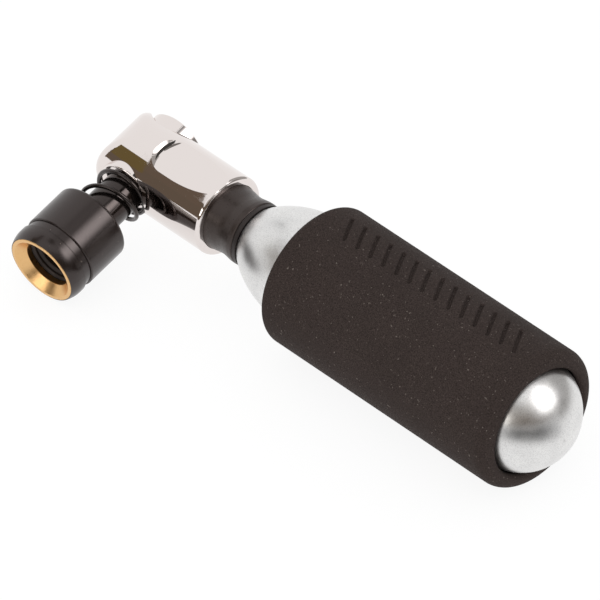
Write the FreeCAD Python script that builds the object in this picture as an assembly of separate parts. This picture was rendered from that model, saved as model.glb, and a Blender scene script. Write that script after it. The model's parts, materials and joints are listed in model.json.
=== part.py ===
import FreeCAD, Part
import math
import os

from FreeCAD import Placement, Rotation, Vector

# Portable tyre inflator: a chromed tee head screwed on a threaded 16 g gas cartridge, with a
# sprung push valve that carries the chuck for the tyre's valve.
#
# Working frame, millimetres: the cartridge axis is +X and starts where the valve axis crosses it.
# The valve axis lies in the XY plane, towards -Y, and leans a few degrees towards +X.
# At the end everything rolls about X, so that the object lies on its foam sleeve and on the rim
# of the chuck, and moves so that the middle of its base is the origin.

# ---------------------------------------------------------------- driving dimensions
VALVE_LEAN = 5.3            # degrees from square between the two axes
FACE_GAP = 0.02             # between pieces that bear or are screwed on each other

# tee head
TEE_R = 8.0
TEE_END = 20.7              # square end that takes the collar
TEE_END_FILLET = 0.7
TEE_FLAT = 7.85             # half the distance across the two narrow flats of the head
TEE_CORNER_FILLET = 2.2
HOLLOW_FLOOR = 6.9          # grip hollows in the top and the bottom of the bar
HOLLOW_LOW = 10.2           # the floor is level up to here, then rises in a long arc
HOLLOW_R = 64.0
HOLLOW_END_R = 2.6          # round corner of the end wall, next to the head
HOLLOW_END_CENTRE = 11.0
HOLLOW_END_SWEEP = 5.2
BOSS_R = 5.7
BOSS_EDGE_FILLET = 0.35
NEAR_SEAT = 7.3             # front of the boss, the spring's seat
FAR_SEAT = 4.3              # seat of the retaining screw, in the far pocket
FAR_POCKET_R = 6.8
SOCKET_R = 6.6
SOCKET_FLOOR = 12.4
GAS_PASSAGE_R = 0.5

# push valve
STEM_R = 3.97
STEM_BORE_R = 1.2
STEM_CLEARANCE = 0.05
STEM_GAS_HOLE = 2.4         # place of the cross hole along the valve axis, valve shut
STEM_GAS_HOLE_R = 0.5
SEAL_PLACES = {"front": 3.6, "middle": 1.2, "rear": -2.9}
SEAL_SECTION = 1.0
SEAL_R = 4.95               # outside of the seals, in their grooves
GROOVE_WIDTH = 1.2
SPRING_R = 5.1              # centre of the wire
SPRING_WIRE = 0.85
SPRING_TURNS = 4
SPRING_STEPS = 12           # points on the centre line, in each turn
RETAINER_R = 5.9
RETAINER_FACE = 8.05        # top of its dome
RETAINER_SAG = 0.35
RETAINER_CHAMFER = 0.2
RETAINER_THREAD_R = 1.9
RETAINER_THREAD_DEPTH = 3.0

# chuck
CHUCK_R = 7.75
CHUCK_BACK = 16.2
CHUCK_SHOULDER = 25.6       # end of the long section, start of the finger groove
CHUCK_GROOVE_R = 7.4
NOSE_BACK = 27.2
NOSE_ROUND_START = 28.3
NOSE_ROUND_R = 5.05
MOUTH = 30.77
MOUTH_RING_R = 7.02
MOUTH_RING_FACE_R = 6.35
MOUTH_RING_BORE_R = 4.8
MOUTH_RING_CONE_DEPTH = 1.7
MOUTH_RING_DEPTH = 2.9
MOUTH_RING_STEP = 0.6
MOUTH_RING_PROUD = 0.12
VALVE_BORE_R = 3.95         # takes the valve of a tyre
VALVE_BORE_START = 23.0     # the grommet is relieved behind this
GROMMET_BACK = 21.4
DEPRESSOR_TIP = 22.7
STOP_WASHER = 0.6
CHUCK_FLOOR = 19.6
CHUCK_BORE_R = 5.8
CHUCK_SPIGOT_R = 6.6
CHUCK_SPIGOT = 0.6

# collar, thread insert and piercing pin
COLLAR_START = 13.0
COLLAR_END = 27.8
COLLAR_MOUTH_R = 6.4
COLLAR_WAIST_R = 6.1
INSERT_R = 5.6
INSERT_START = 16.0
THREAD_PITCH = 25.4 / 24    # 3/8 - 24 UNF
THREAD_DEPTH = 0.45
NECK_R = 4.76
NECK_CLEARANCE = 0.08
PIN_R = 0.9
PIN_BORE_R = 0.4
PIN_TIP = 20.6
PIN_FLANGE = 1.6
GASKET_R = 4.5
NECK_WASHER = 0.95
NECK_WASHER_GAP = 0.05

# gas cartridge
CARTRIDGE_R = 11.0
CARTRIDGE_WALL = 1.1
NECK_MOUTH = 17.7
SHOULDER_CENTRE = 45.0
SHOULDER_LENGTH = 19.3      # half length of the shoulder's ellipse
DOME_CENTRE = 95.7
NECK_BORE_R = 3.0
SEAL_CAP = 0.5

# foam sleeve
SLEEVE_R = 14.0
SLEEVE_BORE_R = 11.3
SLEEVE_START = 43.0
SLEEVE_END = 100.3
SLEEVE_ROUND = 2.6
SLEEVE_LIP_ROUND = 1.2


# ---------------------------------------------------------------- helpers
def rounded_wire(corners):
    """Closed wire in the XZ plane through (radius, height, fillet) corners."""
    points = [Vector(radius, 0, height) for radius, height, fillet in corners]
    starts = []
    arcs = []
    ends = []
    for index, (radius, height, fillet) in enumerate(corners):
        corner = points[index]
        if fillet == 0:
            starts.append(corner)
            arcs.append(None)
            ends.append(corner)
            continue
        back = (points[index - 1] - corner).normalize()
        ahead = (points[(index + 1) % len(points)] - corner).normalize()
        middle = (back + ahead).normalize()
        half_angle = back.getAngle(ahead) / 2
        reach = fillet / math.tan(half_angle)
        start = corner + back * reach
        end = corner + ahead * reach
        summit = corner + middle * (fillet / math.sin(half_angle) - fillet)
        starts.append(start)
        ends.append(end)
        arcs.append(Part.Arc(start, summit, end).toShape())
    edges = []
    for index, arc in enumerate(arcs):
        if arc:
            edges.append(arc)
        gap_start = ends[index]
        gap_end = starts[(index + 1) % len(corners)]
        if gap_start.distanceToPoint(gap_end) > 1e-6:
            edges.append(Part.LineSegment(gap_start, gap_end).toShape())
    return Part.Wire(edges)


def turned(corners):
    """Solid of revolution about Z of a closed outline of (radius, height, fillet) corners."""
    return spun(rounded_wire(corners))


def spun(wire):
    return Part.Face(wire).revolve(Vector(0, 0, 0), Vector(0, 0, 1), 360)


def rod(radius, low, high):
    return Part.makeCylinder(radius, high - low, Vector(0, 0, low))


def tube(outer, inner, low, high, round_over=0):
    corners = [(inner, low, 0), (outer, low, round_over), (outer, high, round_over), (inner, high, 0)]
    return turned(corners)


def along_cartridge(shape):
    """Turn a shape made along Z onto the cartridge axis."""
    shape.Placement = Placement(Vector(), Rotation(Vector(0, 1, 0), 90)).multiply(shape.Placement)
    return shape


def along_valve(shape):
    """Turn a shape made along Z onto the valve axis, with its +Z towards the mouth."""
    lay_down = Rotation(Vector(1, 0, 0), 90)
    lean = Rotation(Vector(0, 0, 1), VALVE_LEAN)
    shape.Placement = Placement(Vector(), lean.multiply(lay_down)).multiply(shape.Placement)
    return shape


def edges_near(shape, test):
    """Edges whose middle point passes the test."""
    chosen = []
    for edge in shape.Edges:
        middle = edge.valueAt((edge.FirstParameter + edge.LastParameter) / 2)
        if test(middle):
            chosen.append(edge)
    return chosen


# ---------------------------------------------------------------- tee head
def tee_blank():
    """Round bar with a rounded left end that follows the valve axis, and two flats on the head."""
    bar = along_cartridge(turned([
        (0, -12, 0),
        (TEE_R, -12, 0),
        (TEE_R, TEE_END, TEE_END_FILLET),
        (0, TEE_END, 0),
    ]))
    keep = along_valve(rod(TEE_R, -12, 12).fuse(Part.makeBox(30, 24, 24, Vector(0, -12, -12))))
    bar = bar.common(keep).removeSplitter()

    for side in (1, -1):
        bar = bar.cut(Part.makeBox(16, 24, 4, Vector(-12, -12, TEE_FLAT if side > 0 else -TEE_FLAT - 4)))
    corners = edges_near(bar, lambda point: point.x < -1 and abs(point.y) > 1.2)
    bar = bar.makeFillet(TEE_CORNER_FILLET, corners)
    for turn in (0, 180):
        hollow = grip_hollow()
        hollow.rotate(Vector(0, 0, 0), Vector(1, 0, 0), turn)
        bar = bar.cut(hollow)
    return bar


def grip_hollow():
    """Cutter for a thumb's hollow: a level floor with a swept end wall, then a long shallow rise."""
    top = TEE_R + 4
    far = TEE_END + 2

    def on_rise(place):
        return Vector(place, 0, HOLLOW_FLOOR + HOLLOW_R - math.sqrt(HOLLOW_R ** 2 - (place - HOLLOW_LOW) ** 2))

    low = on_rise(HOLLOW_LOW)
    high = on_rise(far)
    rise = Part.Arc(low, on_rise((HOLLOW_LOW + far) / 2), high).toShape()
    sides = Part.makePolygon([high, Vector(far, 0, top), Vector(HOLLOW_LOW, 0, top), low])
    long_part = Part.Face(Part.Wire([rise] + sides.Edges)).extrude(Vector(0, 3 * TEE_R, 0))
    long_part.translate(Vector(0, -1.5 * TEE_R, 0))
    reach = HOLLOW_END_SWEEP + HOLLOW_END_R
    end = turned([(0, HOLLOW_FLOOR, 0), (reach, HOLLOW_FLOOR, HOLLOW_END_R), (reach, top, 0), (0, top, 0)])
    end.translate(Vector(HOLLOW_END_CENTRE, 0, 0))
    end = end.common(Part.makeBox(20, 3 * TEE_R, top, Vector(HOLLOW_LOW - 20, -1.5 * TEE_R, 0)))
    return long_part.fuse(end).removeSplitter()


def tee_body():
    boss = turned([(0, 0, 0), (BOSS_R, 0, 0), (BOSS_R, NEAR_SEAT, BOSS_EDGE_FILLET), (0, NEAR_SEAT, 0)])
    body = tee_blank().cut(along_valve(rod(BOSS_R, NEAR_SEAT, TEE_R + 1))).fuse(along_valve(boss))
    bore = STEM_R + STEM_CLEARANCE
    cuts = [
        rod(FAR_POCKET_R, -14, -FAR_SEAT),
        rod(bore, -14, 14),
    ]
    for place in SEAL_PLACES.values():
        cuts.append(rod(SEAL_R, place - GROOVE_WIDTH / 2, place + GROOVE_WIDTH / 2))
    for cut in cuts:
        body = body.cut(along_valve(cut))
    body = body.cut(along_cartridge(rod(SOCKET_R, SOCKET_FLOOR, TEE_END + 2)))
    return body.cut(along_cartridge(rod(GAS_PASSAGE_R, 0, SOCKET_FLOOR + 1)))


# ---------------------------------------------------------------- cartridge socket
def cartridge_collar():
    """Dark ring between the chromed head and the cartridge, waisted for the fingers."""
    waist_start = TEE_END + 3.0
    return along_cartridge(turned([
        (INSERT_R, COLLAR_START, 0),
        (SOCKET_R - FACE_GAP, COLLAR_START, 0.3),
        (SOCKET_R - FACE_GAP, TEE_END - 0.3, 0),
        (COLLAR_WAIST_R, waist_start, 4),
        (COLLAR_WAIST_R, waist_start + 0.9, 4),
        (COLLAR_MOUTH_R, COLLAR_END - 1.2, 2),
        (COLLAR_MOUTH_R, COLLAR_END, 0.35),
        (INSERT_R, COLLAR_END, 0),
    ]))


def thread_insert():
    """Brass insert with the thread for the cartridge's neck."""
    bore = NECK_R + NECK_CLEARANCE
    end = COLLAR_END - 0.5
    thread = [(*corner, 0) for corner in thread_rings(bore, NECK_MOUTH + 0.6, end - 0.4, THREAD_DEPTH)]
    return along_cartridge(turned([
        (bore, INSERT_START, 0),
        *thread,
        (bore, end, 0.2),
        (INSERT_R, end, 0),
        (INSERT_R, INSERT_START, 0),
    ]))


def piercing_pin():
    """Hollow needle on a flange; it stands in the mouth of the cartridge."""
    flange_end = SOCKET_FLOOR + PIN_FLANGE
    needle = turned([
        (PIN_BORE_R, SOCKET_FLOOR, 0),
        (INSERT_R - 0.1, SOCKET_FLOOR, 0),
        (INSERT_R - 0.1, flange_end, 0.2),
        (PIN_R, flange_end, 0),
        (PIN_R, PIN_TIP, 0),
        (PIN_BORE_R, PIN_TIP, 0),
    ])
    slope = Part.makeBox(6, 6, 6, Vector(-3, -3, 0))
    slope.Placement = Placement(Vector(0, 0, PIN_TIP - PIN_R), Rotation(Vector(0, 1, 0), 45))
    return along_cartridge(needle.cut(slope))


def pin_gasket():
    """Rubber washer that seals the mouth of the cartridge round the needle."""
    return along_cartridge(tube(GASKET_R, PIN_R, SOCKET_FLOOR + PIN_FLANGE, NECK_MOUTH - FACE_GAP, 0.25))


def neck_washer():
    """Rubber ring on the cartridge's shoulder, which beds against the collar."""
    start = COLLAR_END + NECK_WASHER_GAP
    end = start + NECK_WASHER
    gap = NECK_CLEARANCE
    return along_cartridge(turned([
        (shoulder_radius(start) + gap, start, 0),
        (COLLAR_MOUTH_R - 0.05, start, 0.15),
        (shoulder_radius(end) + gap + 0.35, end, 0),
        (shoulder_radius(end) + gap, end, 0),
    ]))


# ---------------------------------------------------------------- cartridge
def shoulder_radius(place):
    reach = (SHOULDER_CENTRE - place) / SHOULDER_LENGTH
    return CARTRIDGE_R * math.sqrt(1 - reach * reach)


def shoulder_arc(radius, length, foot, end):
    """Elliptical arc in the XZ plane from the foot of the neck up to the straight wall."""
    middle = Vector(0, 0, SHOULDER_CENTRE)
    ellipse = Part.Ellipse(Vector(0, 0, SHOULDER_CENTRE - length), Vector(radius, 0, SHOULDER_CENTRE), middle)
    angles = sorted([ellipse.parameter(foot), ellipse.parameter(end)])
    return Part.ArcOfEllipse(ellipse, angles[0], angles[1]).toShape()


def bottle_side(radius, neck_radius, shoulder_length):
    """Edges of a bottle's side, from the foot of the neck to the pole of the dome, and those points."""
    drop = math.sqrt(1 - (neck_radius / radius) ** 2)
    foot = Vector(neck_radius, 0, SHOULDER_CENTRE - shoulder_length * drop)
    wall_start = Vector(radius, 0, SHOULDER_CENTRE)
    wall_end = Vector(radius, 0, DOME_CENTRE)
    slope = radius * math.sqrt(0.5)
    pole = Vector(0, 0, DOME_CENTRE + radius)
    edges = [
        shoulder_arc(radius, shoulder_length, foot, wall_start),
        Part.LineSegment(wall_start, wall_end).toShape(),
        Part.Arc(wall_end, Vector(slope, 0, DOME_CENTRE + slope), pole).toShape(),
    ]
    return edges, foot, pole


def thread_rings(radius, start, end, depth):
    """Corners of a V thread drawn as rings; depth is negative where it is cut inwards."""
    corners = []
    crest = 0.12
    for ring in range(int((end - start) / THREAD_PITCH)):
        ring_start = start + ring * THREAD_PITCH
        corners.append((radius, ring_start + crest))
        corners.append((radius + depth, ring_start + THREAD_PITCH / 2))
        corners.append((radius, ring_start + THREAD_PITCH - crest))
    return corners


def cartridge_shell():
    """Drawn steel bottle: threaded neck, long shoulder, straight wall and domed end."""
    outer, foot, pole = bottle_side(CARTRIDGE_R, NECK_R, SHOULDER_LENGTH)
    inner, inner_foot, inner_pole = bottle_side(
        CARTRIDGE_R - CARTRIDGE_WALL, NECK_BORE_R, SHOULDER_LENGTH - CARTRIDGE_WALL)
    chamfer = 0.3
    neck = [inner_foot, Vector(NECK_BORE_R, 0, NECK_MOUTH), Vector(NECK_R - chamfer, 0, NECK_MOUTH)]
    neck.append(Vector(NECK_R, 0, NECK_MOUTH + chamfer))
    for radius, place in thread_rings(NECK_R, NECK_MOUTH + 0.5, foot.z - 0.4, -THREAD_DEPTH):
        neck.append(Vector(radius, 0, place))
    neck.append(foot)
    edges = Part.makePolygon(neck).Edges + outer
    edges.append(Part.LineSegment(pole, inner_pole).toShape())
    return along_cartridge(spun(Part.Wire(edges + inner[::-1])))


def mouth_seal_cap():
    """Thin steel cap welded in the mouth of the cartridge, holed by the needle."""
    return along_cartridge(tube(NECK_BORE_R, PIN_R + NECK_CLEARANCE, NECK_MOUTH, NECK_MOUTH + SEAL_CAP))


def foam_sleeve():
    return along_cartridge(turned([
        (SLEEVE_BORE_R, SLEEVE_START, 0.8),
        (SLEEVE_R, SLEEVE_START, SLEEVE_LIP_ROUND),
        (SLEEVE_R, SLEEVE_END, SLEEVE_ROUND),
        (SLEEVE_BORE_R, SLEEVE_END, 0),
    ]))


# ---------------------------------------------------------------- push valve
def stem_seal(place):
    """Ring that seals the stem, shown squeezed between the stem and its groove."""
    inner = STEM_R + STEM_CLEARANCE / 2
    half = SEAL_SECTION / 2
    return along_valve(tube(SEAL_R, inner, place - half, place + half, 0.3))


def plunger_stem():
    """Hollow stem with a cross hole; the chuck is screwed on its front end."""
    end = CHUCK_FLOOR
    start = -FAR_SEAT + FACE_GAP
    stem = turned([
        (0, start + RETAINER_THREAD_DEPTH, 0),
        (RETAINER_THREAD_R, start + RETAINER_THREAD_DEPTH, 0),
        (RETAINER_THREAD_R, start, 0),
        (STEM_R, start, 0.2),
        (STEM_R, end, 0.3),
        (STEM_BORE_R, end, 0),
        (STEM_BORE_R, STEM_GAS_HOLE - 1.0, 0),
        (0, STEM_GAS_HOLE - 1.0, 0),
    ])
    hole = Part.makeCylinder(STEM_GAS_HOLE_R, 12, Vector(-6, 0, STEM_GAS_HOLE), Vector(1, 0, 0))
    return along_valve(stem.cut(hole))


def retaining_screw():
    """Round chromed screw with a domed face, which holds the stem in the head."""
    edge = RETAINER_FACE - RETAINER_SAG
    radius = RETAINER_R - RETAINER_CHAMFER
    dome_r = (radius * radius + RETAINER_SAG * RETAINER_SAG) / (2 * RETAINER_SAG)
    lean = math.asin(radius / dome_r) / 2
    dome_middle = Vector(dome_r * math.sin(lean), 0, -(RETAINER_FACE - dome_r * (1 - math.cos(lean))))
    hub_end = -FAR_SEAT
    thread_end = hub_end + RETAINER_THREAD_DEPTH - 0.3
    points = [
        Vector(0, 0, thread_end),
        Vector(RETAINER_THREAD_R - FACE_GAP, 0, thread_end),
        Vector(RETAINER_THREAD_R - FACE_GAP, 0, hub_end),
        Vector(RETAINER_R, 0, hub_end),
        Vector(RETAINER_R, 0, RETAINER_CHAMFER - edge),
        Vector(radius, 0, -edge),
    ]
    edges = []
    for first, second in zip(points, points[1:]):
        edges.append(Part.LineSegment(first, second).toShape())
    top = Vector(0, 0, -RETAINER_FACE)
    edges.append(Part.Arc(points[-1], dome_middle, top).toShape())
    edges.append(Part.LineSegment(top, points[0]).toShape())
    return along_valve(spun(Part.Wire(edges)))


def return_spring():
    """Round wire coil between the head and the chuck."""
    start = NEAR_SEAT + FACE_GAP + SPRING_WIRE / 2
    length = CHUCK_BACK - SPRING_WIRE / 2 - FACE_GAP - start
    steps = SPRING_TURNS * SPRING_STEPS
    points = []
    for step in range(steps + 1):
        angle = 2 * math.pi * step / SPRING_STEPS
        points.append(Vector(SPRING_R * math.cos(angle), SPRING_R * math.sin(angle), length * step / steps))
    centre_line = Part.BSplineCurve()
    centre_line.interpolate(points)
    along_wire = centre_line.tangent(centre_line.FirstParameter)[0]
    section = Part.Wire(Part.makeCircle(SPRING_WIRE / 2, points[0], along_wire))
    coil = Part.Wire(centre_line.toShape()).makePipe(Part.Face(section))
    coil.translate(Vector(0, 0, start))
    return along_valve(coil)


# ---------------------------------------------------------------- chuck
def chuck_body():
    """Long dark barrel with the groove that divides it from the nose."""
    stem_socket = STEM_R + FACE_GAP
    return along_valve(turned([
        (stem_socket, CHUCK_BACK, 0.3),
        (CHUCK_R, CHUCK_BACK, 0.7),
        (CHUCK_R, CHUCK_SHOULDER, 0.25),
        (CHUCK_GROOVE_R, CHUCK_SHOULDER, 0),
        (CHUCK_GROOVE_R, NOSE_BACK, 0),
        (CHUCK_SPIGOT_R, NOSE_BACK, 0),
        (CHUCK_SPIGOT_R, NOSE_BACK + CHUCK_SPIGOT, 0),
        (CHUCK_BORE_R, NOSE_BACK + CHUCK_SPIGOT, 0),
        (CHUCK_BORE_R, CHUCK_FLOOR, 0),
        (stem_socket, CHUCK_FLOOR, 0),
    ]))


def on_nose_round(angle):
    """Point of the nose's rounded rim, from angle 0 where it leaves the straight side."""
    radius = CHUCK_R - NOSE_ROUND_R * (1 - math.cos(angle))
    return Vector(radius, 0, NOSE_ROUND_START + NOSE_ROUND_R * math.sin(angle))


def chuck_nose():
    """Screwed nose that holds the grommet and the mouth ring."""
    tip = MOUTH - MOUTH_RING_PROUD
    sweep = math.asin((tip - NOSE_ROUND_START) / NOSE_ROUND_R)
    start = on_nose_round(0)
    bulge = on_nose_round(sweep / 2)
    end = on_nose_round(sweep)
    ring_back = MOUTH - MOUTH_RING_DEPTH
    ring_seat = MOUTH_RING_R + FACE_GAP
    nose_bore = CHUCK_SPIGOT_R + FACE_GAP
    points = [
        end,
        Vector(ring_seat, 0, tip),
        Vector(ring_seat, 0, ring_back + MOUTH_RING_STEP),
        Vector(nose_bore, 0, ring_back + MOUTH_RING_STEP),
        Vector(nose_bore, 0, NOSE_BACK),
        Vector(CHUCK_R - 0.2, 0, NOSE_BACK),
        Vector(CHUCK_R, 0, NOSE_BACK + 0.2),
        start,
    ]
    edges = [Part.Arc(start, bulge, end).toShape()]
    for first, second in zip(points, points[1:]):
        edges.append(Part.LineSegment(first, second).toShape())
    return along_valve(spun(Part.Wire(edges)))


def mouth_ring():
    """Gilt ring with a lead-in cone for the tyre's valve."""
    back = MOUTH - MOUTH_RING_DEPTH
    return along_valve(turned([
        (MOUTH_RING_BORE_R, back, 0.15),
        (CHUCK_SPIGOT_R, back, 0),
        (CHUCK_SPIGOT_R, back + MOUTH_RING_STEP, 0),
        (MOUTH_RING_R, back + MOUTH_RING_STEP, 0),
        (MOUTH_RING_R, MOUTH, 0.12),
        (MOUTH_RING_FACE_R, MOUTH, 0.12),
        (MOUTH_RING_BORE_R, MOUTH - MOUTH_RING_CONE_DEPTH, 0.1),
    ]))


def valve_grommet():
    """Rubber grommet with lips that grip the tyre's valve."""
    front = MOUTH - MOUTH_RING_DEPTH - FACE_GAP
    lip = 0.55
    outer = CHUCK_BORE_R - 0.05
    return along_valve(turned([
        (VALVE_BORE_R, VALVE_BORE_START, 0.15),
        (VALVE_BORE_R + lip, VALVE_BORE_START - 0.4, 0),
        (VALVE_BORE_R + lip, GROMMET_BACK, 0),
        (outer, GROMMET_BACK, 0),
        (outer, front, 0),
        (MOUTH_RING_BORE_R + 0.3, front, 0.2),
        (VALVE_BORE_R + lip, front - 0.55, 0.2),
        (VALVE_BORE_R + lip, front - 0.95, 0.15),
        (VALVE_BORE_R, front - 1.3, 0.2),
    ]))


def stop_washer():
    """Washer behind the grommet, where the tyre's valve comes to rest."""
    back = GROMMET_BACK - STOP_WASHER
    return along_valve(tube(CHUCK_BORE_R - 0.05, 2.3, back, GROMMET_BACK - FACE_GAP))


def core_depressor():
    """Pin on three spokes that opens the core of the tyre's valve."""
    back = CHUCK_FLOOR + FACE_GAP
    front = GROMMET_BACK - STOP_WASHER - FACE_GAP
    ring = tube(CHUCK_BORE_R - 0.1, 4.4, back, front)
    hub = rod(1.3, back, front)
    for turn in range(3):
        spoke = Part.makeBox(4.6, 0.9, front - back, Vector(0, -0.45, back))
        spoke.rotate(Vector(0, 0, 0), Vector(0, 0, 1), 120 * turn)
        hub = hub.fuse(spoke)
    pin = turned([(0, back, 0), (0.75, back, 0), (0.75, DEPRESSOR_TIP, 0.3), (0, DEPRESSOR_TIP, 0)])
    return along_valve(ring.fuse(hub).fuse(pin).removeSplitter())


# ---------------------------------------------------------------- how it lies
def rest_roll():
    """Roll, in degrees, at which the sleeve and the rim of the nose both touch the ground."""
    centre_r = CHUCK_R - NOSE_ROUND_R
    reach = math.hypot(NOSE_ROUND_START, centre_r)
    dip = math.asin((SLEEVE_R - NOSE_ROUND_R) / reach) - math.atan2(centre_r, NOSE_ROUND_START)
    return math.degrees(math.asin(math.sin(dip) / math.cos(math.radians(VALVE_LEAN))))


def stand(shapes):
    """Roll every piece to its resting pose, and put the middle of the base at the origin."""
    for shape in shapes:
        shape.rotate(Vector(0, 0, 0), Vector(1, 0, 0), rest_roll())
    box = Part.makeCompound(shapes).optimalBoundingBox(False)
    shift = Vector(-box.Center.x, -box.Center.y, -box.ZMin)
    for shape in shapes:
        shape.translate(shift)
    return shift


pieces = {
    "tee_body": tee_body(),
    "cartridge_collar": cartridge_collar(),
    "thread_insert": thread_insert(),
    "piercing_pin": piercing_pin(),
    "pin_gasket": pin_gasket(),
    "neck_washer": neck_washer(),
    "cartridge_shell": cartridge_shell(),
    "mouth_seal_cap": mouth_seal_cap(),
    "foam_sleeve": foam_sleeve(),
    "plunger_stem": plunger_stem(),
    "retaining_screw": retaining_screw(),
    "return_spring": return_spring(),
    "chuck_body": chuck_body(),
    "chuck_nose": chuck_nose(),
    "mouth_ring": mouth_ring(),
    "valve_grommet": valve_grommet(),
    "stop_washer": stop_washer(),
    "core_depressor": core_depressor(),
}
for name, place in SEAL_PLACES.items():
    pieces["stem_seal_" + name] = stem_seal(place)

offset = stand(list(pieces.values()))
os.makedirs("parts", exist_ok=True)
for name, shape in pieces.items():
    print(name, "valid", shape.isValid(), "solids", len(shape.Solids), "volume", round(shape.Volume, 2))
    shape.exportStep("parts/" + name + ".step")
print("roll", rest_roll(), "crossing of the axes", offset)
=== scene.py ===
import bpy
import bmesh
import json
import math
from mathutils import Matrix, Vector


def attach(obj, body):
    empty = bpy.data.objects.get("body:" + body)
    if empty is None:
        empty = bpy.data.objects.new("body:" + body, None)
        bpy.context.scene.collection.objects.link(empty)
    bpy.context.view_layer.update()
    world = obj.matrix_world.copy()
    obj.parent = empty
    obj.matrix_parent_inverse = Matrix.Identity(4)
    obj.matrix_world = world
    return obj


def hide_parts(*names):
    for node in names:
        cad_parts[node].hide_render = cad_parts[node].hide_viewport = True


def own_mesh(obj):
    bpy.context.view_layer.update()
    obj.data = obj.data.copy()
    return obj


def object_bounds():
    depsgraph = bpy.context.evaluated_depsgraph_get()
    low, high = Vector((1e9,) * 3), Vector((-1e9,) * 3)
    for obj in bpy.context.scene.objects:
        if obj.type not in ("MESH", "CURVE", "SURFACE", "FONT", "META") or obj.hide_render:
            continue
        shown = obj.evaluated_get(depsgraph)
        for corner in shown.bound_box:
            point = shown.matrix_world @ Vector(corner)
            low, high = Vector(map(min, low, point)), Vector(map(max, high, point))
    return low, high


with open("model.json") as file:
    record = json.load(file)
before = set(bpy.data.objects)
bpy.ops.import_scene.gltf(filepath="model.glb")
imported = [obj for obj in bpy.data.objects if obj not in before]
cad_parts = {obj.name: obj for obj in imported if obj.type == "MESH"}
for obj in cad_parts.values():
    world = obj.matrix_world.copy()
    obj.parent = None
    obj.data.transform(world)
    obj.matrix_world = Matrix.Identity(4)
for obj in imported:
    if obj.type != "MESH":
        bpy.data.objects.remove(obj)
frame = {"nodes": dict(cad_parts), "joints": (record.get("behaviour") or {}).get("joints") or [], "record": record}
cad_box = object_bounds()
nodes = frame["nodes"]
joints = {joint["name"]: joint for joint in frame["joints"]}

MM = 0.001
# the camera, in metres
CAMERA_PLACE = Vector((0.985849, -0.991706, 1.138309))
CAMERA_RIGHT = Vector((0.694588, 0.718985, 0.024659))
CAMERA_UP = Vector((-0.463608, 0.421140, 0.779557))
CAMERA_LENS = 600
# sizes of the CAD model that the cards follow, in mm
BAR_R = 8.0
DOME_R = 11.0
HOLLOW_WALL_PLACE = 8.0         # end wall of the grip hollow, along the cartridge's axis
HOLLOW_WALL_HEIGHT = 7.3

# ------------------------------------------------------------------ axes of the object
CROSSING = Vector(joints["plunger_spin"]["pos_m"])
VALVE_AXIS = Vector(joints["plunger_spin"]["axis"]).normalized()
CARTRIDGE_AXIS = Vector((1, 0, 0))
ROLL = math.atan2(-VALVE_AXIS.z, -VALVE_AXIS.y)
HEAD_UP = Vector((0, -math.sin(ROLL), math.cos(ROLL)))      # normal of the flats of the head


def frame_of(z_axis, x_axis, origin):
    """Matrix whose Z is z_axis and whose X is near x_axis."""
    z_axis = z_axis.normalized()
    y_axis = z_axis.cross(x_axis).normalized()
    x_axis = y_axis.cross(z_axis)
    matrix = Matrix((x_axis, y_axis, z_axis)).transposed().to_4x4()
    matrix.translation = origin
    return matrix


VALVE_FRAME = frame_of(VALVE_AXIS, HEAD_UP, CROSSING)
CARTRIDGE_FRAME = frame_of(CARTRIDGE_AXIS, HEAD_UP, CROSSING)


# ------------------------------------------------------------------ node helpers
def new_material(name):
    material = bpy.data.materials.new(name)
    material.use_nodes = True
    tree = material.node_tree
    shader = tree.nodes["Principled BSDF"]
    return material, tree, shader


def setting(shader, **values):
    names = {
        "color": "Base Color", "metallic": "Metallic", "roughness": "Roughness", "ior": "IOR",
        "specular": "Specular IOR Level", "tint": "Specular Tint",
    }
    for key, value in values.items():
        if key in ("color", "tint"):
            value = (*value, 1)
        shader.inputs[names[key]].default_value = value


def noise(tree, scale, detail, roughness=0.5):
    node = tree.nodes.new("ShaderNodeTexNoise")
    node.inputs["Scale"].default_value = scale
    node.inputs["Detail"].default_value = detail
    node.inputs["Roughness"].default_value = roughness
    place = tree.nodes.new("ShaderNodeTexCoord")
    tree.links.new(place.outputs["Object"], node.inputs["Vector"])
    return node.outputs["Fac"]


def ramp(tree, source, *stops):
    """Colour ramp; each stop is (place, value) or (place, (r, g, b))."""
    node = tree.nodes.new("ShaderNodeValToRGB")
    elements = node.color_ramp.elements
    while len(elements) < len(stops):
        elements.new(0.5)
    for element, (place, value) in zip(elements, stops):
        element.position = place
        element.color = (*value, 1) if isinstance(value, tuple) else (value, value, value, 1)
    tree.links.new(source, node.inputs["Fac"])
    return node.outputs["Color"]


def mixed(tree, factor, first, second):
    """Colour mix by a socket; first and second are sockets or (r, g, b)."""
    node = tree.nodes.new("ShaderNodeMix")
    node.data_type = "RGBA"
    tree.links.new(factor, node.inputs["Factor"])
    for socket, value in ((node.inputs[6], first), (node.inputs[7], second)):
        if isinstance(value, tuple):
            socket.default_value = (*value, 1)
        else:
            tree.links.new(value, socket)
    return node.outputs[2]


def bumps(tree, shader, *layers):
    """Chain of bump nodes; each layer is (height socket, strength, distance in metres)."""
    normal = None
    for height, strength, distance in layers:
        node = tree.nodes.new("ShaderNodeBump")
        node.inputs["Strength"].default_value = strength
        node.inputs["Distance"].default_value = distance
        tree.links.new(height, node.inputs["Height"])
        if normal:
            tree.links.new(normal, node.inputs["Normal"])
        normal = node.outputs["Normal"]
    tree.links.new(normal, shader.inputs["Normal"])


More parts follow.
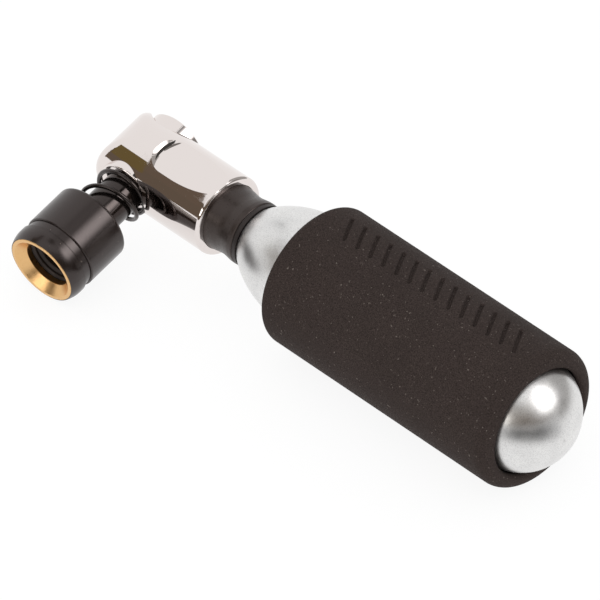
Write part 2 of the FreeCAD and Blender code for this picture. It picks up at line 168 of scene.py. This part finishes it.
# ------------------------------------------------------------------ materials
def chrome():
    """Bright plating, very slightly hazy and wavy."""
    material, tree, shader = new_material("chrome")
    setting(shader, color=(0.775, 0.715, 0.692), metallic=1.0)
    haze = noise(tree, 900, 4)
    tree.links.new(ramp(tree, haze, (0.35, 0.02), (0.75, 0.07)), shader.inputs["Roughness"])
    ripple = noise(tree, 260, 2)
    bumps(tree, shader, (ripple, 0.15, 0.00001))
    return material


def zinc():
    """Dull plated steel, with mottled patches and a sparkling grain."""
    material, tree, shader = new_material("zinc_steel")
    setting(shader, metallic=1.0)
    grain = noise(tree, 4600, 2, 0.6)
    mottle = noise(tree, 240, 4)
    patches = ramp(tree, mottle, (0.35, 0.0), (0.7, 1.0))
    colour = mixed(tree, patches, (0.72, 0.715, 0.71), (0.82, 0.815, 0.805))
    colour = mixed(tree, ramp(tree, grain, (0.36, 0.42), (0.52, 0.0)), colour, (0.42, 0.415, 0.41))
    tree.links.new(colour, shader.inputs["Base Color"])
    tree.links.new(ramp(tree, mottle, (0.3, 0.29), (0.7, 0.36)), shader.inputs["Roughness"])
    return material


def anodised():
    """Satin black aluminium with a little pale dust."""
    material, tree, shader = new_material("black_anodised")
    setting(shader, specular=0.62, tint=(1.0, 0.87, 0.85))
    grain = noise(tree, 3200, 3, 0.6)
    tree.links.new(ramp(tree, grain, (0.3, 0.21), (0.7, 0.26)), shader.inputs["Roughness"])
    dust = noise(tree, 1500, 1)
    specks = ramp(tree, dust, (0.76, 0.0), (0.80, 1.0))
    colour = mixed(tree, specks, (0.010, 0.0062, 0.0050), (0.12, 0.10, 0.08))
    tree.links.new(colour, shader.inputs["Base Color"])
    return material


def polished_black():
    """Black stem of the push valve."""
    material, tree, shader = new_material("polished_black")
    setting(shader, color=(0.007, 0.0055, 0.005), specular=0.6, tint=(1.0, 0.84, 0.8))
    grain = noise(tree, 2400, 2)
    tree.links.new(ramp(tree, grain, (0.3, 0.09), (0.7, 0.16)), shader.inputs["Roughness"])
    return material


def spring_wire():
    """Black oiled wire."""
    material, tree, shader = new_material("spring_wire")
    setting(shader, color=(0.007, 0.006, 0.0055), specular=0.6, tint=(1.0, 0.84, 0.8))
    grain = noise(tree, 1800, 2)
    tree.links.new(ramp(tree, grain, (0.3, 0.12), (0.7, 0.26)), shader.inputs["Roughness"])
    bumps(tree, shader, (grain, 0.1, 0.00002))
    return material


def gilt():
    """Satin gold-coloured brass."""
    material, tree, shader = new_material("gilt_brass")
    setting(shader, metallic=1.0)
    grain = noise(tree, 1600, 3)
    colour = mixed(tree, grain, (0.70, 0.425, 0.185), (0.80, 0.51, 0.235))
    tree.links.new(colour, shader.inputs["Base Color"])
    tree.links.new(ramp(tree, grain, (0.3, 0.27), (0.7, 0.34)), shader.inputs["Roughness"])
    return material


def foam():
    """Closed-cell foam with open pores, faint clouds and pale specks."""
    material, tree, shader = new_material("foam")
    setting(shader, roughness=0.75, ior=1.17)
    pores = noise(tree, 4200, 3, 0.7)
    clouds = noise(tree, 110, 4)
    walls = ramp(tree, pores, (0.34, 0.0), (0.66, 1.0))
    base = mixed(tree, walls, (0.021, 0.0148, 0.0130), (0.062, 0.0455, 0.0405))
    base = mixed(tree, ramp(tree, clouds, (0.35, 0.28), (0.7, 0.0)), base, (0.025, 0.018, 0.016))
    specks = noise(tree, 1900, 1)
    base = mixed(tree, ramp(tree, specks, (0.70, 0.0), (0.78, 1.0)), base, (0.15, 0.125, 0.11))
    tree.links.new(base, shader.inputs["Base Color"])
    bumps(tree, shader, (pores, 0.7, 0.00012), (clouds, 0.15, 0.0005))
    return material


def moulded(name, colour, roughness):
    """Dull plastic or rubber with a fine grain."""
    material, tree, shader = new_material(name)
    setting(shader, specular=0.5, tint=(1.0, 0.85, 0.81))
    grain = noise(tree, 2200, 3, 0.6)
    light = tuple(1.35 * value for value in colour)
    tree.links.new(mixed(tree, grain, colour, light), shader.inputs["Base Color"])
    rough = ramp(tree, grain, (0.3, roughness - 0.08), (0.7, roughness + 0.08))
    tree.links.new(rough, shader.inputs["Roughness"])
    bumps(tree, shader, (grain, 0.35, 0.00006))
    return material


def plain_steel():
    """Bare turned steel of the inner pieces."""
    material, tree, shader = new_material("plain_steel")
    setting(shader, color=(0.52, 0.51, 0.50), metallic=1.0)
    grain = noise(tree, 1600, 2)
    tree.links.new(ramp(tree, grain, (0.3, 0.22), (0.7, 0.4)), shader.inputs["Roughness"])
    bumps(tree, shader, (grain, 0.15, 0.00003))
    return material


MATERIALS = {
    "chrome": chrome(),
    "zinc_steel": zinc(),
    "plain_steel": plain_steel(),
    "black_anodised": anodised(),
    "spring_wire": spring_wire(),
    "gilt_brass": gilt(),
    "foam": foam(),
    "collar_plastic": moulded("collar_plastic", (0.021, 0.0155, 0.0135), 0.34),
    "seal_rubber": moulded("seal_rubber", (0.009, 0.0075, 0.007), 0.5),
    "black_plastic": moulded("black_plastic", (0.013, 0.011, 0.010), 0.5),
}
for part in frame["record"]["subparts"]:
    mesh = nodes[part["node"]].data
    mesh.materials.clear()
    mesh.materials.append(MATERIALS[part["material_slot"]])
nodes["plunger_stem"].data.materials[0] = polished_black()


def piece(name, build, material, body):
    """New smooth piece that build(bmesh) fills, riding on a body."""
    mesh = bpy.data.meshes.new(name)
    shape = bmesh.new()
    build(shape)
    bmesh.ops.recalc_face_normals(shape, faces=shape.faces)
    shape.to_mesh(mesh)
    shape.free()
    for face in mesh.polygons:
        face.use_smooth = True
    mesh.materials.append(MATERIALS[material])
    made = bpy.data.objects.new(name, mesh)
    bpy.context.scene.collection.objects.link(made)
    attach(made, body)
    return made


# ------------------------------------------------------------------ return spring
SPRING_R = 5.1
SPRING_WIRE = 0.85
# course of the wire: turns from the camera's right, and places of its centre along the valve axis
SPRING_RISE = [
    (0.62, 7.75), (0.8, 7.78), (1.0, 7.8), (1.25, 7.95), (1.5, 8.4), (1.75, 9.1), (2.0, 9.8),
    (2.25, 11.2), (2.5, 13.2), (2.75, 14.9), (3.0, 15.62), (3.4, 15.76),
]
SPRING_PHASE = math.radians(124.8)
SPRING_STEPS = 540
SPRING_SIDES = 14


def monotone(points, x):
    """Smooth rising curve through points, with no overshoot (Fritsch-Carlson)."""
    slopes = [(b[1] - a[1]) / (b[0] - a[0]) for a, b in zip(points, points[1:])]
    tangents = [slopes[0]]
    for before, after in zip(slopes, slopes[1:]):
        tangents.append(2 * before * after / (before + after) if before * after > 0 else 0)
    tangents.append(slopes[-1])
    for index, (a, b) in enumerate(zip(points, points[1:])):
        if x <= b[0] or index == len(points) - 2:
            width = b[0] - a[0]
            t = (x - a[0]) / width
            t2, t3 = t * t, t * t * t
            return ((2 * t3 - 3 * t2 + 1) * a[1] + (t3 - 2 * t2 + t) * width * tangents[index]
                    + (3 * t2 - 2 * t3) * b[1] + (t3 - t2) * width * tangents[index + 1])


def coil(shape):
    """Round wire along the spring's course."""
    start, end = SPRING_RISE[0][0], SPRING_RISE[-1][0]
    centres = []
    for step in range(SPRING_STEPS + 1):
        turn = start + (end - start) * step / SPRING_STEPS
        # angle from the head's up direction towards the cartridge, falling as the wire climbs
        angle = SPRING_PHASE - 2 * math.pi * turn
        rise = monotone(SPRING_RISE, turn)
        local = Vector((math.cos(angle) * SPRING_R, -math.sin(angle) * SPRING_R, rise))
        centres.append(VALVE_FRAME @ (local * MM))
    rings = []
    for index, centre in enumerate(centres):
        ahead = centres[min(index + 1, SPRING_STEPS)] - centres[max(index - 1, 0)]
        radial = centre - CROSSING
        radial = (radial - VALVE_AXIS * radial.dot(VALVE_AXIS)).normalized()
        up = ahead.normalized().cross(radial).normalized()
        ring = []
        for side in range(SPRING_SIDES):
            around = 2 * math.pi * side / SPRING_SIDES
            offset = (radial * math.cos(around) + up * math.sin(around)) * SPRING_WIRE / 2 * MM
            ring.append(shape.verts.new(centre + offset))
        rings.append(ring)
    for first, second in zip(rings, rings[1:]):
        for side in range(SPRING_SIDES):
            after = (side + 1) % SPRING_SIDES
            shape.faces.new((first[side], first[after], second[after], second[side]))
    shape.faces.new(rings[0])
    shape.faces.new(rings[-1])


spring = piece("return_spring_coil", coil, "spring_wire", "head")
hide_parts("return_spring")
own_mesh(spring)


# ------------------------------------------------------------------ foam sleeve
SLEEVE_R = 14.0
SLEEVE_BORE = 11.3
SLEEVE_START = 43.0
SLEEVE_END = 100.3
NEAR_LIP = 1.35                 # radius of the near lip across the wall
NEAR_LIP_IN = 1.2               # its length on the bore's side
NEAR_LIP_OUT = 1.3              # its length on the outside
FAR_LIP = 2.6                   # radius of the far shoulder
# far lip, which turns in and touches the dome: (radius, distance before the end)
TURNED_IN = [(11.15, 0.12), (10.85, 0.42), (10.72, 0.95), (10.85, 1.7), (SLEEVE_BORE, 3.4)]
AXIAL_STEPS = 340               # fine enough for the grooves
FINE_STEP = math.radians(0.6)   # round the sleeve, where the grooves are
FINE_REACH = 30                 # fine steps each side of the grooves' middle
COARSE_STEPS = 150              # round the rest

# slanted grip grooves in a row along the sleeve
MARK_ANGLE = math.radians(-18)
MARK_STEP = 3.3
MARK_SLANT = math.radians(58)
MARK_HALF = 3.3
MARK_WIDTH = 0.30
MARK_EDGE = 0.24
MARK_DEPTH = 0.55
MARKS = [50.0 + MARK_STEP * column for column in range(14)]


def sleeve(shape):
    """Tube with soft rounded ends; its outside carries shallow slanted grip grooves."""
    fine = [MARK_ANGLE + FINE_STEP * step for step in range(-FINE_REACH, FINE_REACH + 1)]
    rest = 2 * math.pi - fine[-1] + fine[0]
    angles = fine + [fine[-1] + rest * step / COARSE_STEPS for step in range(1, COARSE_STEPS)]
    around = len(angles)
    profile = []
    # from the bore's near end, round the lip, along the outside, round the far lip, into the bore
    for step in range(9):
        a = math.pi / 2 * step / 8
        place = SLEEVE_START + NEAR_LIP_IN * (1 - math.sin(a))
        profile.append((SLEEVE_BORE + NEAR_LIP * (1 - math.cos(a)), place))
    for step in range(1, 13):
        a = math.pi / 2 * step / 12
        place = SLEEVE_START + NEAR_LIP_OUT * (1 - math.cos(a))
        profile.append((SLEEVE_R - NEAR_LIP * (1 - math.sin(a)), place))
    straight_start = SLEEVE_START + NEAR_LIP_OUT
    straight = SLEEVE_END - FAR_LIP - straight_start
    for step in range(1, AXIAL_STEPS):
        profile.append((SLEEVE_R, straight_start + straight * step / AXIAL_STEPS))
    for step in range(17):
        a = math.pi / 2 * step / 16
        place = SLEEVE_END - FAR_LIP * (1 - math.sin(a))
        profile.append((SLEEVE_R - FAR_LIP * (1 - math.cos(a)), place))
    profile += [(radius, SLEEVE_END - before) for radius, before in TURNED_IN]
    rings = []
    for radius, place in profile:
        ring = []
        for angle in angles:
            r = radius - groove(angle, place) if radius > SLEEVE_R - 0.01 else radius
            local = Vector((r * math.cos(angle), r * math.sin(angle), place))
            ring.append(shape.verts.new(CARTRIDGE_FRAME @ (local * MM)))
        rings.append(ring)
    for index in range(len(rings)):
        first, second = rings[index], rings[(index + 1) % len(rings)]
        for step in range(around):
            after = (step + 1) % around
            shape.faces.new((first[step], first[after], second[after], second[step]))


def groove(angle, place):
    """Depth in mm of the pressed grip marks: a row of slanted grooves with soft edges."""
    turned_angle = (angle - MARK_ANGLE + math.pi) % (2 * math.pi) - math.pi
    around = turned_angle * SLEEVE_R
    if abs(around) > MARK_HALF + 1:
        return 0.0
    deepest = 0.0
    for middle in MARKS:
        along = place - middle
        if abs(along) > MARK_HALF:
            continue
        run = along * math.cos(MARK_SLANT) + around * math.sin(MARK_SLANT)
        across = -along * math.sin(MARK_SLANT) + around * math.cos(MARK_SLANT)
        run = max(0.0, abs(run) - MARK_HALF)
        inside = 0.5 - (math.hypot(run, across) - MARK_WIDTH) / MARK_EDGE
        deepest = max(deepest, min(1.0, max(0.0, inside)))
    return MARK_DEPTH * deepest


foam_piece = piece("foam_sleeve_skin", sleeve, "foam", "sleeve")
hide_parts("foam_sleeve")


# ------------------------------------------------------------------ floor, lights and camera
FLOOR_HALF = 3.0
CARD_STEPS = 48
MIRRORED_STEPS = 16


def linked(name, verts, faces, material):
    """New mesh object for the floor and the cards, with one material, linked to the scene."""
    mesh = bpy.data.meshes.new(name)
    mesh.from_pydata(verts, [], faces)
    mesh.materials.append(material)
    made = bpy.data.objects.new(name, mesh)
    bpy.context.scene.collection.objects.link(made)
    return made


def floor_material():
    material, tree, shader = new_material("studio_floor")
    setting(shader, color=(0.12, 0.12, 0.12), roughness=0.9, specular=0.0)
    shader.inputs["Emission Color"].default_value = (1, 1, 1, 1)
    shader.inputs["Emission Strength"].default_value = 0.9
    return material


def glow(name, colour, strength=1.0, edge=None):
    """Even glow; with edge, it fades from strength to edge where the mesh's fade value falls."""
    material = bpy.data.materials.new(name)
    material.use_nodes = True
    tree = material.node_tree
    tree.nodes.clear()
    light = tree.nodes.new("ShaderNodeEmission")
    light.inputs["Color"].default_value = (*colour, 1)
    light.inputs["Strength"].default_value = strength
    if edge is not None:
        fade = tree.nodes.new("ShaderNodeAttribute")
        fade.attribute_name = "fade"
        level = tree.nodes.new("ShaderNodeMapRange")
        level.inputs["To Min"].default_value = edge
        level.inputs["To Max"].default_value = strength
        tree.links.new(fade.outputs["Fac"], level.inputs["Value"])
        tree.links.new(level.outputs["Result"], light.inputs["Strength"])
    output = tree.nodes.new("ShaderNodeOutputMaterial")
    tree.links.new(light.outputs["Emission"], output.inputs["Surface"])
    return material


def direction(azimuth, elevation):
    """Unit vector; azimuth 0 is -Y, positive towards +X; both in degrees."""
    a, e = math.radians(azimuth), math.radians(elevation)
    return Vector((math.sin(a) * math.cos(e), -math.cos(a) * math.cos(e), math.sin(e)))


def grid_card(name, steps, place_of, material):
    """Square grid of points place_of(row share, column share), which only reflections see."""
    shares = [step / steps for step in range(steps + 1)]
    verts = [tuple(place_of(row, column)) for row in shares for column in shares]
    faces = []
    for row in range(steps):
        for column in range(steps):
            i = row * (steps + 1) + column
            faces.append((i, i + 1, i + steps + 2, i + steps + 1))
    made = linked(name, verts, faces, material)
    made.visible_camera = False
    made.visible_diffuse = False
    made.visible_shadow = False
    made.visible_transmission = False
    return made


def card(name, azimuths, elevations, material, distance=1.5, margin=0.0, middle=CROSSING):
    """Patch of a sphere round middle; margin is the share of it that fades at each side."""
    def place_of(row, column):
        e = elevations[0] + (elevations[1] - elevations[0]) * row
        a = azimuths[0] + (azimuths[1] - azimuths[0]) * column
        return middle + direction(a, e) * distance

    made = grid_card(name, CARD_STEPS, place_of, material)
    if margin:
        fade = made.data.attributes.new("fade", "FLOAT", "POINT")
        for i, value in enumerate(fade.data):
            row, column = divmod(i, CARD_STEPS + 1)
            inside = [min(1.0, min(k, CARD_STEPS - k) / (CARD_STEPS * margin)) for k in (row, column)]
            value.value = math.prod(k * k * (3 - 2 * k) for k in inside)


def mirrored(name, places, angles, material, distance=0.09):
    """Card that the head's round bar mirrors to the camera at these places and angles, in mm and degrees."""
    camera_way = (CROSSING - CAMERA_PLACE).normalized()
    sideways = Vector((0, math.cos(ROLL), math.sin(ROLL)))

    def place_of(row, column):
        a = math.radians(angles[0] + (angles[1] - angles[0]) * row)
        normal = sideways * math.sin(a) + HEAD_UP * math.cos(a)
        bounce = camera_way - 2 * camera_way.dot(normal) * normal
        place = places[0] + (places[1] - places[0]) * column
        return CROSSING + (CARTRIDGE_AXIS * place + normal * BAR_R) * MM + bounce * distance

    grid_card(name, MIRRORED_STEPS, place_of, material)


floor_corners = [(x * FLOOR_HALF, y * FLOOR_HALF, 0) for x, y in ((-1, -1), (1, -1), (1, 1), (-1, 1))]
linked("studio_floor", floor_corners, [(0, 1, 2, 3)], floor_material())

# broad cards far from the object: (azimuths, elevations), in degrees
card("softbox", (76, 144), (20, 70), glow("softbox", (1, 0.985, 0.98), 5.6, 0.3), 1.4, 0.42)
card("low_window", (-19, 23), (11, 27), glow("low_window", (1, 0.97, 0.92), 2.6), 1.3)
card("dark_side", (-47, 98), (-6, 33), glow("dark_side", (0.133, 0.101, 0.074)))
card("behind_camera", (12, 75), (33, 52), glow("behind_camera", (0.42, 0.40, 0.38)))
card("ceiling", (-180, 180), (80, 90), glow("ceiling", (0.2, 0.19, 0.18)))
card("far_side", (146, 200), (-2, 72), glow("far_side", (0.40, 0.39, 0.38)))
card("under_softbox", (97, 147), (-6, 23), glow("under_softbox", (0.26, 0.25, 0.24)))

# small cards near the object, placed for the view of the photograph
mirrored("dark_side_top", (4.7, 20.2), (-40, -17), glow("dark_side_top", (0.140, 0.104, 0.076)))
mirrored("olive_side", (-11.0, 4.6), (-44, -28.5), glow("olive_side", (0.150, 0.108, 0.042)), 0.085)
dome_middle = Vector((cad_box[1][0] - DOME_R * MM, 0, CROSSING.z))
card("low_side", (8, 122), (-18, 15), glow("low_side", (1, 1, 1), 0.06, 0.7), 0.042, 0.33, dome_middle)
hollow_wall = CROSSING + (CARTRIDGE_AXIS * HOLLOW_WALL_PLACE + HEAD_UP * HOLLOW_WALL_HEIGHT) * MM
card("over_hollow", (60, 205), (67, 88), glow("over_hollow", (0.06, 0.058, 0.055)), 0.02, 0.0, hollow_wall)

world = bpy.data.worlds.new("studio")
bpy.context.scene.world = world
world.use_nodes = True
world.node_tree.nodes["Background"].inputs["Color"].default_value = (1, 1, 1, 1)
world.node_tree.nodes["Background"].inputs["Strength"].default_value = 1.0

camera_data = bpy.data.cameras.new("camera")
camera_data.lens = CAMERA_LENS
camera_data.sensor_width = 36
camera_data.clip_start = 0.1
camera_data.clip_end = 20
camera = bpy.data.objects.new("camera", camera_data)
axes = Matrix((CAMERA_RIGHT, CAMERA_UP, CAMERA_RIGHT.cross(CAMERA_UP)))
camera_matrix = axes.transposed().to_4x4()
camera_matrix.translation = CAMERA_PLACE
camera.matrix_world = camera_matrix
bpy.context.scene.collection.objects.link(camera)
bpy.context.scene.camera = camera
bpy.context.scene.view_settings.view_transform = "Standard"
bpy.context.scene.view_settings.look = "None"
